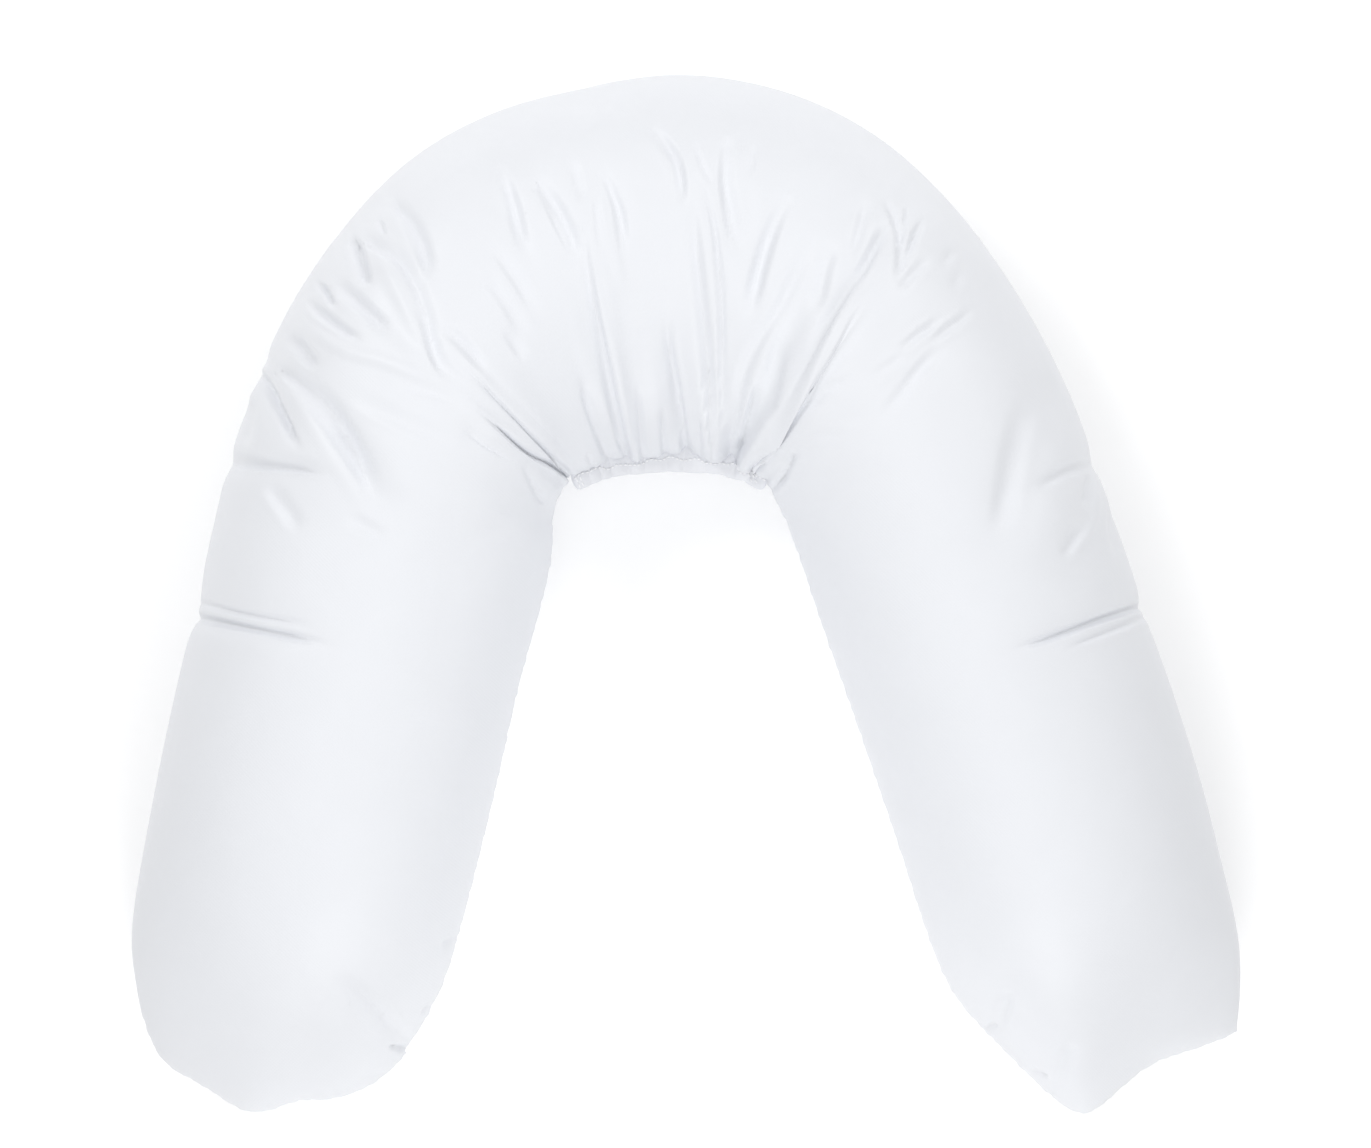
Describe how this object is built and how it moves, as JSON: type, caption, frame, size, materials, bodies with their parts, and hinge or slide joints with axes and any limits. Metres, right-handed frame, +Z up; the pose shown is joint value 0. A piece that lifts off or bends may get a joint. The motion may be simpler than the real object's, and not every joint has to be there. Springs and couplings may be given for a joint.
{
  "type": "u-shaped nursing pillow",
  "caption": "U-shaped nursing pillow: a filled cotton tube drawn into a U by a gathered elastic casing along its inner curve, with seams across its ends.",
  "frame": {"origin": "on the surface that the pillow lies on, below the middle of its length and width", "axes": "+Z up, away from the surface; +X to the right across the two legs; +Y from the open side of the U to its crown"},
  "size_m": [0.8682, 0.819, 0.2147],
  "materials": {
    "cotton_cover": "smooth white cotton satin, matt with a faint cool tint",
    "casing_cotton": "the same white cotton, gathered, matt"
  },
  "bodies": {
    "root": {"pillow": "cotton_cover", "elastic_casing": "casing_cotton"}
  },
  "joints": []
}
